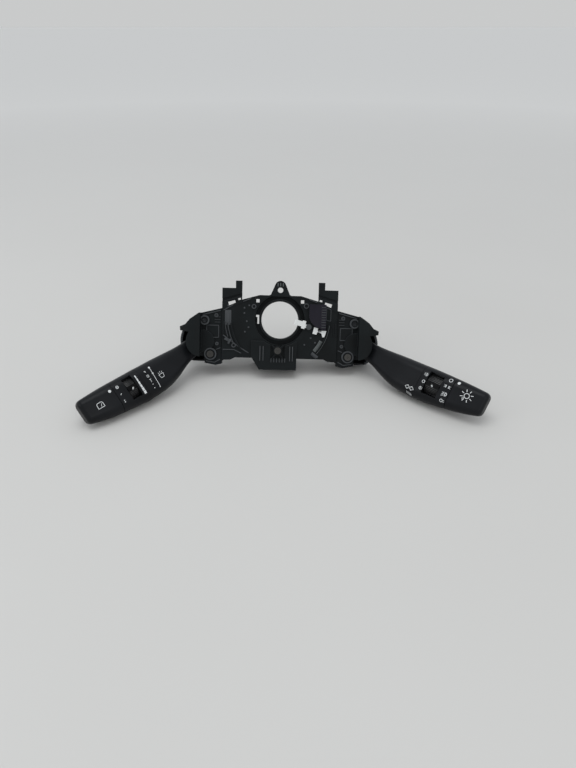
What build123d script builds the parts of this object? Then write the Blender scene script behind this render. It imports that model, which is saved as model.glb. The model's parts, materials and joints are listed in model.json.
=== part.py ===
"""Combination stalk switch of a car: column bracket, wiper and light modules, two levers.

All lengths are millimetres and all angles are degrees. The origin is the centre of the column
bore on the bracket's front face. X runs to the right, Z is up, and the column axis leans back, so
that the bracket's foot and the two lever tips stand on a level bench. Most sketches are drawn on
planes parallel to the front face, where x is right, y is up and z comes towards the driver.
"""
import os
from math import cos, radians, sin

from build123d import *

# Attitude on the bench
column_rake = 26.0
bench_roll = 1.9
bench_drop = 55.0
bench_gap = 0.6

# Column bore and its collar
bore_radius = 19.0
recess_radius = 25.3
recess_depth = 5.0
collar_wall = 1.8
ledge_thickness = 3.0
sleeve_wall = 1.9

# Bracket plate
plate_half_width = 58.5
plate_top = 24.6
plate_bottom = -39.0
plate_thickness = 3.0
bracket_depth = 14.0
skirt_wall = 2.0
rib_thickness = 1.6
grip_rib_inset = 3.5

# Screw tab above the bore
tab_half_width = 10.4
tab_peak = 39.3
tab_tip_radius = 5.6
tab_thickness = 6.0
screw_hole_radius = 2.8
screw_hole_height = 30.1

# Stepped shroud tabs
shroud_inner = 38.6
shroud_step = 45.0
shroud_top = 38.4
shroud_step_top = 31.0
shroud_thickness = 3.6
shroud_lift = 0.6

# Foot block below the bore
foot_left = -28.4
foot_toe = -20.4
foot_right = 17.6
foot_top = -21.6
foot_bottom = -50.6
foot_front = 3.0
foot_back = -33.0
foot_wall = 2.2
boss_x = -1.5
boss_y = -31.0
boss_radius = 4.4
boss_screw_radius = 1.9

# Clock spring seat
seat_radius = 50.0
seat_rim_width = 1.2
seat_rim_height = 2.2
link_end = seat_radius - 2.7

# Switch modules
pivot_reach = 19.5
pivot_x = plate_half_width + pivot_reach
pivot_y = -23.0
pivot_depth = -15.0
module_gap = 0.4
module_front = -2.0
module_parting = -12.0
module_back = -29.0
module_wall = 1.9
hood_edge = pivot_x + 1.6
hood_middle = pivot_x + 8.0
hood_depth = -6.0
hood_radius = 18.6
boss_rise = 3.0
guide_x = pivot_x - 1.9
guide_y = -1.9
screw_x = pivot_x - 8.0
screw_y = -36.0
bearing_wall = 1.4
relief_radius = 10.4
relief_front = -0.7
throat_radius = 24.0
notch_radius = 15.3
tongue_inner = 31.0
seat_clearance = 0.3

# Tilting yoke, its trunnions and the lever's pull hinge
hub_radius = 9.5
hub_half_height = 7.0
trunnion_radius = 4.0
running_clearance = 0.05
slot_clearance = 0.15
hinge_pin_radius = 1.5
tongue_half = 3.1
pull_travel = 6.0

# Detent plunger and track
plunger_radius = 1.8
plunger_reach = 13.3
plunger_length = 6.0
plunger_travel = 1.5
detent_clearance = 0.3
track_thickness = 2.8
detent_step = 7.5
spring_wire = 0.35

# Levers: each section is reach from the hinge, width, thickness and sag of its centre
light_droop = 24.0
light_rise = 37.45
wiper_droop = 33.6
wiper_rise = 37.9
neck = (20.0, 19.6, 13.0, 0.0)
throat = (39.0, 23.8, 16.0, -2.8)
flare = (54.0, 29.8, 19.6, -5.0)
shoulder = (69.0, 33.0, 22.4, -5.9)
belly = (87.5, 34.0, 24.0, -5.8)
grip = (117.0, 30.8, 22.6, -3.7)
taper = (136.0, 27.0, 18.6, -2.0)
tip = (151.6, 21.6, 13.0, 0.0)
lever_sections = [neck, throat, flare, shoulder, belly, grip, taper, tip]
corner_share = 0.42
part_gap = 0.3
root_start = 13.0
root_width = 6.2
root_height = 6.2
socket_end = 34.0
tip_round = 4.8
light_tip = 151.6
wiper_tip = 148.8

# Thumb wheel and core rod
rod_radius = 3.2
rod_start = 64.0
rod_end = 131.0
wheel_sag = -3.6
wheel_radius = 11.3
wheel_hub_radius = 6.8
wheel_clearance = 0.4
wheel_rib_width = 2.2
wheel_rib_height = 1.4
wheel_half_sweep = 68.0
window_start = 94.3
wiper_window = 10.4
light_window = 15.0
window_half_height = 11.2
wiper_head_end = 115.6
light_head_end = 119.2
knob_gap = 0.5

# Turn signal cancelling
pawl_depth = 3.0
pawl_pivot_x = 29.4
pawl_pivot_y = -6.2
pawl_tilt = -14.0
pawl_pin_radius = 1.2
cover_lift = 3.6
cover_thickness = 1.6

# Circuit boards and connectors
board_thickness = 1.6
board_height = -24.8
board_end = pivot_x - 4.8
connector_width = 17.0
connector_height = 16.0
connector_x = 44.0
connector_y = -12.0
connector_back = -38.0
connector_wall = 1.5
pin_size = 0.64

column = Plane(
    origin=(0, 0, 0),
    x_dir=(
        cos(radians(bench_roll)),
        -sin(radians(bench_roll)) * sin(radians(column_rake)),
        -sin(radians(bench_roll)) * cos(radians(column_rake)),
    ),
    z_dir=(0, -cos(radians(column_rake)), sin(radians(column_rake))),
)


def on_bench(direction):
    """A direction given along the column plane's axes, turned into the part's own axes."""
    return column.from_local_coords(direction)


def tilt_plane(side):
    """Plane of a module's tilt: x points out along the lever, z towards the driver."""
    droop = light_droop if side > 0 else wiper_droop
    outward = on_bench((side * cos(radians(droop)), -sin(radians(droop)), 0))
    return Plane(
        origin=column.from_local_coords((side * pivot_x, pivot_y, pivot_depth)),
        x_dir=outward,
        z_dir=column.z_dir,
    )


def lever_plane(side):
    """Plane of a lever: x along the lever, z out of its printed face."""
    flat = tilt_plane(side)
    rise = radians(light_rise if side > 0 else wiper_rise)
    return Plane(
        origin=flat.origin,
        x_dir=flat.x_dir * cos(rise) + flat.z_dir * sin(rise),
        z_dir=flat.z_dir * cos(rise) - flat.x_dir * sin(rise),
    )


def cross_plane(lever, reach):
    """Plane across a lever at a reach from its hinge, with y out of the printed face."""
    return Plane(
        origin=lever.from_local_coords((reach, 0, 0)),
        x_dir=lever.y_dir,
        z_dir=lever.x_dir,
    )


def section_at(reach):
    """Width, thickness and sag of the lever at a reach, between its named sections."""
    for near, far in zip(lever_sections, lever_sections[1:]):
        if near[0] <= reach <= far[0]:
            share = (reach - near[0]) / (far[0] - near[0])
            return [a + (b - a) * share for a, b in zip(near[1:], far[1:])]
    return list(lever_sections[-1][1:])


def save(piece, label):
    """Names a finished piece and writes it as its own STEP file."""
    piece.part.label = label
    export_step(piece.part, f"parts/{label}.step")


def both_sides(points):
    """A right half outline from top to bottom, closed by its mirror image."""
    return points + [(-x, y) for x, y in reversed(points)]


def column_bracket():
    """Moulded bracket: plate with skirt and ribs, collar, tabs and the foot block."""
    half_outline = [
        (21.0, plate_top),
        (shroud_inner, plate_top - 5.0),
        (plate_half_width, 10.9),
        (plate_half_width, -41.5),
        (50.0, -41.5),
        (45.0, plate_bottom),
    ]
    with BuildPart() as bracket:
        with BuildSketch(column.offset(-bracket_depth)):
            Polygon(*both_sides(half_outline), align=None)
        extrude(amount=bracket_depth)
        with BuildSketch(column.offset(-bracket_depth)):
            Polygon(*both_sides(half_outline), align=None)
            offset(amount=-skirt_wall, mode=Mode.REPLACE)
        extrude(amount=bracket_depth - plate_thickness, mode=Mode.SUBTRACT)
        stiffening_ribs()
        collar()
        screw_tab()
        for side in (-1, 1):
            shroud_tab(side)
            clock_spring_seat(side)
        foot_block()
        sight_holes()
    save(bracket, "column_bracket")


def stiffening_ribs():
    """Upright and level ribs behind the plate, under the skirt's rim."""
    rib_height = bracket_depth - plate_thickness
    with BuildSketch(column.offset(-bracket_depth)) as profile:
        for side in (-1, 1):
            with Locations((side * 34.0, -9.0), (side * 46.5, -13.0)):
                Rectangle(rib_thickness, 58.0 - 6.0)
            with Locations((side * 43.0, 2.0), (side * 43.0, -24.0)):
                Rectangle(plate_half_width - 27.0, rib_thickness)
    extrude(profile.sketch, amount=rib_height)


def collar():
    """Round collar with a ring groove, a ledge and the sleeve that guides the column."""
    collar_radius = recess_radius + collar_wall
    with BuildSketch(column.offset(-bracket_depth)) as profile:
        Circle(collar_radius)
    extrude(profile.sketch, amount=bracket_depth)
    with BuildSketch(column.offset(-recess_depth)) as profile:
        Circle(recess_radius)
        Circle(bore_radius + sleeve_wall, mode=Mode.SUBTRACT)
    extrude(profile.sketch, amount=recess_depth, mode=Mode.SUBTRACT)
    with BuildSketch(column.offset(-bracket_depth)) as profile:
        Circle(recess_radius)
        Circle(bore_radius + sleeve_wall, mode=Mode.SUBTRACT)
    extrude(profile.sketch, amount=bracket_depth - recess_depth - ledge_thickness, mode=Mode.SUBTRACT)
    with BuildSketch(column.offset(-bracket_depth)) as profile:
        Circle(bore_radius)
    extrude(profile.sketch, amount=bracket_depth, mode=Mode.SUBTRACT)


def screw_tab():
    """Peaked tab above the bore with its screw hole and three short ribs."""
    with BuildSketch(column.offset(-tab_thickness)) as profile:
        with BuildLine():
            Polyline((-tab_half_width, plate_top - 1), (tab_half_width, plate_top - 1))
            CenterArc((0, tab_peak - tab_tip_radius), tab_tip_radius, 0, 180)
        make_hull()
    extrude(profile.sketch, amount=tab_thickness)
    with BuildSketch(column.offset(-tab_thickness)) as profile:
        with Locations((0, screw_hole_height)):
            Circle(screw_hole_radius)
    extrude(profile.sketch, amount=tab_thickness, mode=Mode.SUBTRACT)
    rib_bottom = screw_hole_height + screw_hole_radius + 0.8
    rib_top = tab_peak - 1.2
    with BuildSketch(column) as profile:
        with GridLocations(2.6, 1, 3, 1):
            with Locations((0, (rib_bottom + rib_top) / 2)):
                Rectangle(0.8, rib_top - rib_bottom)
    extrude(profile.sketch, amount=0.8)


def shroud_tab(side):
    """Stepped tab that carries the shroud, with a sloping groove and two slots."""
    with BuildSketch(column.offset(shroud_lift - shroud_thickness)) as profile:
        Polygon(
            (side * shroud_inner, plate_top - 8.0),
            (side * shroud_inner, shroud_top),
            (side * shroud_step, shroud_top),
            (side * shroud_step, shroud_step_top),
            (side * plate_half_width, shroud_step_top),
            (side * plate_half_width, 9.0),
            align=None,
        )
    extrude(profile.sketch, amount=shroud_thickness)
    with BuildSketch(column.offset(shroud_lift)) as profile:
        Polygon(
            (side * (shroud_inner - 1), 26.6),
            (side * (plate_half_width + 1), 20.2),
            (side * (plate_half_width + 1), 17.2),
            (side * (shroud_inner - 1), 23.6),
            align=None,
        )
    extrude(profile.sketch, amount=-1.6, mode=Mode.SUBTRACT)
    with BuildSketch(column.offset(shroud_lift)) as profile:
        with Locations(Location((side * 48.7, 16.3), -side * 15.0)):
            Rectangle(7.4, 3.6)
        with Locations(Location((side * 41.2, 20.2), -side * 15.0)):
            Rectangle(2.8, 1.9)
    extrude(profile.sketch, amount=-shroud_thickness - plate_thickness, mode=Mode.SUBTRACT)


def clock_spring_seat(side):
    """Raised arc that centres the clock spring, with the short upright ribs beside it."""
    start = -5.0 if side > 0 else 185.0
    sweep = -34.0 if side > 0 else 34.0
    with BuildSketch(column) as profile:
        with BuildLine():
            outer = CenterArc((0, 0), seat_radius, start, sweep)
            inner = CenterArc((0, 0), seat_radius - seat_rim_width, start, sweep)
            Line(outer @ 0, inner @ 0)
            Line(outer @ 1, inner @ 1)
        make_face()
    extrude(profile.sketch, amount=seat_rim_height)
    with BuildSketch(column) as profile:
        with Locations((side * (plate_half_width - grip_rib_inset), -9.0)):
            with GridLocations(1.9, 1, 3, 1):
                Rectangle(0.8, 12.0)
    extrude(profile.sketch, amount=0.9)


def foot_block():
    """Open-backed block under the bore. Its back edge is cut level where it meets the bench."""
    outline = [
        (foot_left, foot_top),
        (foot_left, -37.6),
        (foot_toe, foot_bottom),
        (foot_right, foot_bottom),
        (foot_right, foot_top),
    ]
    with BuildSketch(column.offset(foot_back)) as profile:
        Polygon(*outline, align=None)
        Circle(recess_radius + collar_wall - 0.2, mode=Mode.SUBTRACT)
    extrude(profile.sketch, amount=foot_front - foot_back)
    with BuildSketch(column.offset(foot_back)) as profile:
        Polygon(*outline, align=None)
        offset(amount=-foot_wall, mode=Mode.REPLACE)
        Circle(recess_radius + collar_wall + foot_wall, mode=Mode.SUBTRACT)
    extrude(profile.sketch, amount=-foot_back - plate_thickness, mode=Mode.SUBTRACT)
    split(bisect_by=Plane.XY.offset(-bench_drop), keep=Keep.TOP)
    boss_pocket()


def boss_pocket():
    """Front pocket of the foot with a screw boss and a cross of ribs."""
    pocket_depth = 3.4
    pocket_floor = foot_front - pocket_depth
    with BuildSketch(column.offset(pocket_floor)) as profile:
        with Locations((boss_x, boss_y - 2.0)):
            Rectangle(15.0, 15.0)
    extrude(profile.sketch, amount=pocket_depth, mode=Mode.SUBTRACT)
    with BuildSketch(column.offset(pocket_floor)) as profile:
        with Locations((boss_x, boss_y)):
            Circle(boss_radius)
        for angle in (50.0, 130.0):
            with Locations(Location((boss_x, boss_y - 1.5), angle)):
                Rectangle(18.0, 1.2)
        with Locations((boss_x, boss_y - 2.0)):
            Rectangle(15.0, 15.0, mode=Mode.INTERSECT)
    extrude(profile.sketch, amount=pocket_depth - 0.8)
    with BuildSketch(column.offset(pocket_floor + pocket_depth - 0.8)) as profile:
        with Locations((boss_x, boss_y)):
            Circle(boss_screw_radius)
    extrude(profile.sketch, amount=-pocket_depth, mode=Mode.SUBTRACT)


def sight_holes():
    """Square holes beside the tab and the L-shaped slot in the collar's ledge."""
    with BuildSketch(column) as profile:
        for side in (-1, 1):
            with Locations((side * 22.6, 18.9)):
                Rectangle(3.4, 3.4)
        with Locations((pawl_pivot_x, pawl_pivot_y)):
            Circle(pawl_pin_radius)
        with Locations((-22.1, -0.6)):
            Rectangle(1.8, 7.4)
        with Locations((-22.8, 3.6)):
            Rectangle(3.2, 2.2)
    extrude(profile.sketch, amount=-recess_depth - ledge_thickness - 0.5, mode=Mode.SUBTRACT)


def housing_outline():
    """Front outline of the light housing, with the notch that its lever comes through."""
    inner = plate_half_width + module_gap
    with BuildLine() as edge:
        start = ((pivot_x + notch_radius * cos(radians(37))),
                 pivot_y + notch_radius * sin(radians(37)))
        middle = ((pivot_x + notch_radius * cos(radians(-29))),
                  pivot_y + notch_radius * sin(radians(-29)))
        end = ((pivot_x + notch_radius * cos(radians(-95))),
               pivot_y + notch_radius * sin(radians(-95)))
        Polyline(
            end,
            (pivot_x - 2.0, -45.4),
            (pivot_x - 13.0, -47.4),
            (inner, -45.9),
            (inner, 10.7),
            (pivot_x + 2.5, 5.3),
            (pivot_x + 11.3, -0.9),
            (pivot_x + 16.0, -6.3),
            (pivot_x + 22.1, -8.8),
            (pivot_x + 21.7, -12.6),
            start,
        )
        ThreePointArc(start, middle, end)
    make_face(edge.edges())


barrel = Plane(
    origin=column.from_local_coords((hood_middle, -60.0, hood_depth)),
    x_dir=column.x_dir,
    z_dir=column.y_dir,
)


def roofed(inset, outline):
    """The outline raised to the module's low roof and to the barrel of its hood."""
    top = hood_depth + hood_radius + 1.0
    roof = module_front - inset
    with BuildPart(mode=Mode.PRIVATE) as shape:
        with BuildSketch(column.offset(module_parting)):
            outline()
        extrude(amount=top - module_parting)
        with BuildSketch(barrel) as above:
            with Locations((0, (hood_depth - top + hood_depth - roof) / 2)):
                Rectangle(80.0, top - roof)
            with BuildSketch(mode=Mode.SUBTRACT):
                Circle(hood_radius - inset)
                with Locations((hood_edge + inset - hood_middle + 20.0, 0)):
                    Rectangle(40.0, 60.0, mode=Mode.INTERSECT)
        extrude(above.sketch, amount=80.0, mode=Mode.SUBTRACT)
    return shape.part


def hollow_outline():
    """Outline of the housing's hollow, open at the curved side that the lever root swings in."""
    with BuildSketch(mode=Mode.PRIVATE) as throat:
        with Locations((pivot_x, pivot_y)):
            Circle(notch_radius + 0.1)
            Circle(notch_radius - module_wall - 0.1, mode=Mode.SUBTRACT)
        with Locations(((pivot_x + 20.6), pivot_y)):
            Rectangle(40, 80, mode=Mode.INTERSECT)
        with Locations((pivot_x, pivot_y - 14.4)):
            Rectangle(60, 48, mode=Mode.INTERSECT)
    housing_outline()
    offset(amount=-module_wall, mode=Mode.REPLACE)
    add(throat.sketch)


def side_gap():
    """Opens the foot of the hood's inner wall in two steps for the tilted lever."""
    for front, top in ((module_front + boss_rise, -32.4), (module_front + 0.2, -35.2)):
        with BuildSketch(barrel) as profile:
            Circle(hood_radius - module_wall - 0.3)
            with Locations((hood_edge - hood_middle, hood_depth - front - 10.0)):
                Rectangle(2 * module_wall + 0.2, 20.0, mode=Mode.INTERSECT)
        extrude(profile.sketch, amount=(top + 60.0), mode=Mode.SUBTRACT)


def trunnion_bearing():
    """Front bearing of the yoke, with the roof over it hollowed where the lever root swings."""
    with BuildSketch(column.offset(module_parting)) as sector:
        with Locations((pivot_x, pivot_y)):
            Circle(relief_radius)
        with Locations(((pivot_x + 19), pivot_y)):
            Rectangle(40, 40, mode=Mode.INTERSECT)
    extrude(sector.sketch, amount=relief_front - module_parting, mode=Mode.SUBTRACT)
    with BuildSketch(column.offset(module_front - module_wall)) as bearing:
        with Locations((pivot_x, pivot_y)):
            Circle(trunnion_radius + bearing_wall)
    extrude(bearing.sketch, amount=module_wall + boss_rise)
    with BuildSketch(column.offset(module_front - module_wall)) as bore:
        with Locations((pivot_x, pivot_y)):
            Circle(trunnion_radius + running_clearance)
    extrude(bore.sketch, amount=module_wall + 1.2, mode=Mode.SUBTRACT)


def module_housing(side, label):
    """Front shell of a module with its hood, bearing and bosses; the wiper's is the mirror image."""
    with BuildPart() as housing:
        add(roofed(0, housing_outline))
        with BuildSketch(column.offset(module_front)):
            with Locations((pivot_x, pivot_y)):
                Circle(relief_radius + 1.1)
            with Locations((guide_x, guide_y)):
                Circle(3.5)
            with Locations((screw_x, screw_y)):
                Circle(5.0)
        extrude(amount=boss_rise)
        add(roofed(module_wall, hollow_outline), mode=Mode.SUBTRACT)
        side_gap()
        trunnion_bearing()
        with BuildSketch(column.offset(module_front + boss_rise)):
            with Locations((guide_x, guide_y)):
                Circle(2.2)
        extrude(amount=-boss_rise, mode=Mode.SUBTRACT)
        with BuildSketch(column.offset(module_front)):
            with Locations((pivot_x - 10.0, -13.0)):
                Rectangle(13.0, 13.0)
        extrude(amount=0.7)
        if side < 0:
            across = Plane(origin=column.origin, x_dir=column.y_dir, z_dir=column.x_dir)
            mirror(about=across, mode=Mode.REPLACE)
    save(housing, label)


def cover_outline(side):
    """Outline of a module's rear cover: the round throat and the tongue behind the bracket."""
    with BuildLine() as edge:
        top = (side * (pivot_x + throat_radius * cos(radians(42))),
               pivot_y + throat_radius * sin(radians(42)))
        middle = (side * (pivot_x + throat_radius * cos(radians(-10))),
                  pivot_y + throat_radius * sin(radians(-10)))
        bottom = (side * (pivot_x + throat_radius * cos(radians(-62))),
                  pivot_y + throat_radius * sin(radians(-62)))
        Polyline(
            bottom,
            (side * (pivot_x - 13.0), -44.4),
            (side * plate_half_width, -43.4),
            (side * plate_half_width, 9.6),
            (side * (pivot_x + 2.5), 4.2),
            top,
        )
        ThreePointArc(top, middle, bottom)
    make_face(edge.edges())


def tongue_outline(side):
    """Inner part of the rear cover, which lies behind the bracket's rim."""
    Polygon(
        (side * tongue_inner, 5.0),
        (side * (plate_half_width + 1), 9.3),
        (side * (plate_half_width + 1), -43.0),
        (side * 50.0, -37.0),
        (side * tongue_inner, -31.0),
        align=None,
    )


def rear_cover(side, label):
    """Tray that closes a module from behind and carries its board, connector and trunnion."""
    tongue_top = -bracket_depth - seat_clearance
    lip = module_parting - seat_clearance
    floor = module_back + module_wall
    with BuildPart() as cover:
        with BuildSketch(column.offset(module_back)):
            cover_outline(side)
        extrude(amount=lip - module_back)
        with BuildSketch(column.offset(module_back)):
            tongue_outline(side)
        extrude(amount=tongue_top - module_back)
        with BuildSketch(column.offset(floor)):
            cover_outline(side)
            tongue_outline(side)
            offset(amount=-module_wall, mode=Mode.REPLACE)
        extrude(amount=lip - floor, mode=Mode.SUBTRACT)
        with BuildSketch(column.offset(floor)):
            with Locations((side * pivot_x, pivot_y)):
                Circle(trunnion_radius + 1.8)
            with Locations((side * screw_x, screw_y), (side * guide_x, guide_y)):
                Circle(2.9)
            with Locations((side * 38.0, -2.0), (side * 38.0, -24.0)):
                Circle(2.0)
        extrude(amount=board_height - floor)
        with BuildSketch(column.offset(module_back + 0.8)):
            with Locations((side * pivot_x, pivot_y)):
                Circle(trunnion_radius + running_clearance)
        extrude(amount=board_height - module_back, mode=Mode.SUBTRACT)
        with BuildSketch(column.offset(connector_back)):
            with Locations((side * connector_x, connector_y)):
                Rectangle(connector_width, connector_height)
        extrude(amount=floor - connector_back)
        with BuildSketch(column.offset(connector_back)):
            with Locations((side * connector_x, connector_y)):
                inner_width = connector_width - 2 * connector_wall
                Rectangle(inner_width, connector_height - 2 * connector_wall)
        extrude(amount=module_back - connector_back, mode=Mode.SUBTRACT)
        with BuildSketch(column.offset(module_back)):
            with Locations((side * connector_x, connector_y)):
                with GridLocations(3.0, 6.0, 4, 2):
                    Rectangle(pin_size + 0.1, pin_size + 0.1)
        extrude(amount=module_wall, mode=Mode.SUBTRACT)
        split(bisect_by=Plane.XY.offset(bench_gap - bench_drop), keep=Keep.TOP)
    save(cover, label)


def circuit_board(side, label):
    """Board in the rear cover, ending short of the trunnion boss."""
    with BuildPart() as board:
        with BuildSketch(column.offset(board_height)):
            cover_outline(side)
            tongue_outline(side)
            inset = module_wall + seat_clearance
            offset(amount=-inset, mode=Mode.REPLACE)
            with Locations((side * (board_end + 30), pivot_y)):
                Rectangle(60, 80, mode=Mode.SUBTRACT)
            with Locations((side * connector_x, connector_y)):
                with GridLocations(3.0, 6.0, 4, 2):
                    Rectangle(pin_size + 0.1, pin_size + 0.1, mode=Mode.SUBTRACT)
        extrude(amount=board_thickness)
    save(board, label)


def connector_pins(side, label):
    """Eight square pins from the board into the connector's mouth."""
    pin_back = connector_back + 4.5
    with BuildPart() as pins:
        with BuildSketch(column.offset(pin_back)):
            with Locations((side * connector_x, connector_y)):
                with GridLocations(3.0, 6.0, 4, 2):
                    Rectangle(pin_size, pin_size)
        extrude(amount=board_height + board_thickness + 0.8 - pin_back)
    save(pins, label)


def tilt_yoke(side, label):
    """Hub that tilts on two trunnions, slotted for the lever root and bored for the plunger."""
    tilt = tilt_plane(side)
    rise = light_rise if side > 0 else wiper_rise
    front_length = module_front + 1.0 - pivot_depth
    rear_length = pivot_depth - module_back - 1.1
    with BuildPart() as yoke:
        with BuildSketch(tilt.offset(-hub_half_height)):
            Circle(hub_radius)
        extrude(amount=2 * hub_half_height)
        with BuildSketch(tilt.offset(-rear_length)):
            Circle(trunnion_radius)
        extrude(amount=front_length + rear_length)
        for angle in (-pull_travel - 0.6, 0, pull_travel + 0.6):
            swing = Plane(
                origin=tilt.origin,
                x_dir=tilt.x_dir * cos(radians(rise + angle))
                + tilt.z_dir * sin(radians(rise + angle)),
                z_dir=tilt.y_dir,
            )
            with BuildSketch(swing.offset(-tongue_half - slot_clearance)):
                with Locations((10.0, 0)):
                    Rectangle(20.0, 2 * (tongue_half + 0.3))
                Circle(tongue_half + 0.3)
            extrude(amount=2 * (tongue_half + slot_clearance), mode=Mode.SUBTRACT)
        across = Plane(origin=tilt.origin, x_dir=tilt.x_dir, z_dir=tilt.y_dir)
        with BuildSketch(across.offset(-hub_radius)):
            Circle(hinge_pin_radius)
        extrude(amount=2 * hub_radius, mode=Mode.SUBTRACT)
        back = Plane(
            origin=tilt.from_local_coords((-hub_radius, 0, 0)), x_dir=tilt.y_dir, z_dir=tilt.x_dir
        )
        with BuildSketch(back):
            Circle(plunger_radius + running_clearance)
        extrude(amount=hub_radius - tongue_half - 1.6, mode=Mode.SUBTRACT)
    save(yoke, label)


def hinge_pin(side, label):
    """Steel cross pin that the lever is pulled about."""
    tilt = tilt_plane(side)
    across = Plane(origin=tilt.origin, x_dir=tilt.x_dir, z_dir=tilt.y_dir)
    half_length = hub_radius - 0.8
    with BuildPart() as pin:
        with BuildSketch(across.offset(-half_length)):
            Circle(hinge_pin_radius)
        extrude(amount=2 * half_length)
    save(pin, label)


def detent_parts(side, prefix):
    """Round-nosed plunger, its spring and the grooved track that it clicks along."""
    tilt = tilt_plane(side)
    nose = plunger_reach - plunger_radius
    back = Plane(
        origin=tilt.from_local_coords((-nose, 0, 0)), x_dir=tilt.y_dir, z_dir=tilt.x_dir
    )
    with BuildPart() as plunger:
        with BuildSketch(back):
            Circle(plunger_radius)
        extrude(amount=plunger_length - plunger_radius)
        with Locations(back):
            Sphere(plunger_radius)
    save(plunger, prefix + "_detent_plunger")

    spring_start = tongue_half + 1.7
    spring_length = plunger_reach - plunger_length - spring_start - 0.1
    spring_seat = tilt.from_local_coords((-spring_start - spring_wire, 0, 0))
    coil_radius = plunger_radius - spring_wire - 0.15
    coil_height = spring_length - 2 * spring_wire
    with BuildPart() as spring:
        with BuildLine():
            coil = Helix(0.95, coil_height, coil_radius, center=spring_seat, direction=-tilt.x_dir)
        with BuildSketch(Plane(origin=coil @ 0, z_dir=coil % 0)):
            RegularPolygon(spring_wire, 6)
        sweep(path=coil)
    save(spring, prefix + "_detent_spring")

    track_inner = plunger_reach + detent_clearance
    track_front = module_front - module_wall
    with BuildPart() as track:
        with BuildSketch(column.offset(pivot_depth - 4.0)):
            with BuildLine() as edge:
                middle = 180.0 - light_droop if side > 0 else wiper_droop
                span = 30.0
                centre = (side * pivot_x, pivot_y)
                outer = CenterArc(centre, track_inner + track_thickness, middle - span, 2 * span)
                inner = CenterArc(centre, track_inner, middle - span, 2 * span)
                Line(outer @ 0, inner @ 0)
                Line(outer @ 1, inner @ 1)
            make_face()
        extrude(amount=track_front - pivot_depth + 4.0)
        with BuildSketch(column.offset(pivot_depth - 4.0)):
            with Locations((side * pivot_x, pivot_y)):
                with PolarLocations(track_inner, 5, middle - 2 * detent_step, 4 * detent_step,
                                    endpoint=True):
                    Circle(0.9)
        extrude(amount=8.0, mode=Mode.SUBTRACT)
    save(track, prefix + "_detent_track")


def contact_slider(side, label):
    """Contact arm that rides on the rear trunnion and sweeps over the board."""
    tilt = tilt_plane(side)
    board_face = board_height + board_thickness - pivot_depth
    with BuildPart() as slider:
        with BuildSketch(tilt.offset(board_face + 0.3)):
            Circle(trunnion_radius + 2.0)
            with Locations((-8.0, 0)):
                Rectangle(12.0, 7.0)
            Circle(trunnion_radius, mode=Mode.SUBTRACT)
        extrude(amount=-hub_half_height - board_face - 0.3)
    save(slider, label)


def lever_root(side, label):
    """Die-cast root: hinge tongue, collar plate and the bar that anchors in the stem."""
    lever = lever_plane(side)
    neck_start = neck[0]
    upright = Plane(origin=lever.origin, x_dir=lever.x_dir, z_dir=lever.y_dir)
    with BuildPart() as root:
        with BuildSketch(upright.offset(-tongue_half)):
            Circle(tongue_half)
            with Locations((root_start / 2, 0)):
                Rectangle(root_start, 2 * tongue_half)
        extrude(amount=2 * tongue_half)
        with BuildSketch(cross_plane(lever, root_start)):
            Rectangle(root_width, root_height)
        extrude(amount=socket_end - root_start)
        with BuildSketch(upright.offset(-tongue_half)):
            Circle(hinge_pin_radius + running_clearance)
        extrude(amount=2 * tongue_half, mode=Mode.SUBTRACT)
    save(root, label)


def lever_body(lever, side, start, end):
    """Lofts the lever's rounded section from one reach to another."""
    reaches = [start] + [s[0] for s in lever_sections if start < s[0] < end] + [end]
    for reach in reaches:
        width, thickness, sag = section_at(reach)
        with BuildSketch(cross_plane(lever, reach)) as ring:
            with Locations((side * sag, 0)):
                RectangleRounded(width, thickness, corner_share * thickness)
        yield ring.sketch.face()


def lever_stem(side, label):
    """Curved stem from the throat to the grip, with the root's socket and the rod's bore."""
    lever = lever_plane(side)
    with BuildPart() as stem:
        loft(list(lever_body(lever, side, neck[0], belly[0] - part_gap)))
        with BuildSketch(cross_plane(lever, neck[0])):
            Rectangle(root_width + 0.1, root_height + 0.1)
        extrude(amount=socket_end + 0.1 - neck[0], mode=Mode.SUBTRACT)
        with BuildSketch(cross_plane(lever, rod_start)):
            with Locations((side * wheel_sag, 0)):
                Circle(rod_radius + running_clearance)
        extrude(amount=belly[0] - rod_start, mode=Mode.SUBTRACT)
    save(stem, label)


def lever_head(side, window, head_end, label):
    """Grip head with the window and the round pocket that its thumb wheel turns in."""
    lever = lever_plane(side)
    pocket_radius = wheel_radius + wheel_clearance
    with BuildPart() as head:
        loft(list(lever_body(lever, side, belly[0], head_end)))
        with BuildSketch(cross_plane(lever, belly[0])):
            with Locations((side * wheel_sag, 0)):
                Circle(rod_radius + running_clearance)
        extrude(amount=head_end - belly[0], mode=Mode.SUBTRACT)
        with BuildSketch(cross_plane(lever, window_start)):
            with Locations((side * wheel_sag, 0)):
                Circle(pocket_radius)
                with Locations((0, pocket_radius - 0.5)):
                    Rectangle(3 * pocket_radius, 2 * pocket_radius, mode=Mode.INTERSECT)
                Circle(wheel_hub_radius + wheel_clearance)
                with Locations((0, pocket_radius)):
                    Rectangle(2 * window_half_height, pocket_radius)
        extrude(amount=window, mode=Mode.SUBTRACT)
    save(head, label)


def core_rod(side, label):
    """Rod that joins stem and head and carries the wheel and the end knob."""
    lever = lever_plane(side)
    with BuildPart() as rod:
        with BuildSketch(cross_plane(lever, rod_start)):
            with Locations((side * wheel_sag, 0)):
                Circle(rod_radius)
        extrude(amount=rod_end - rod_start)
    save(rod, label)


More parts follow.
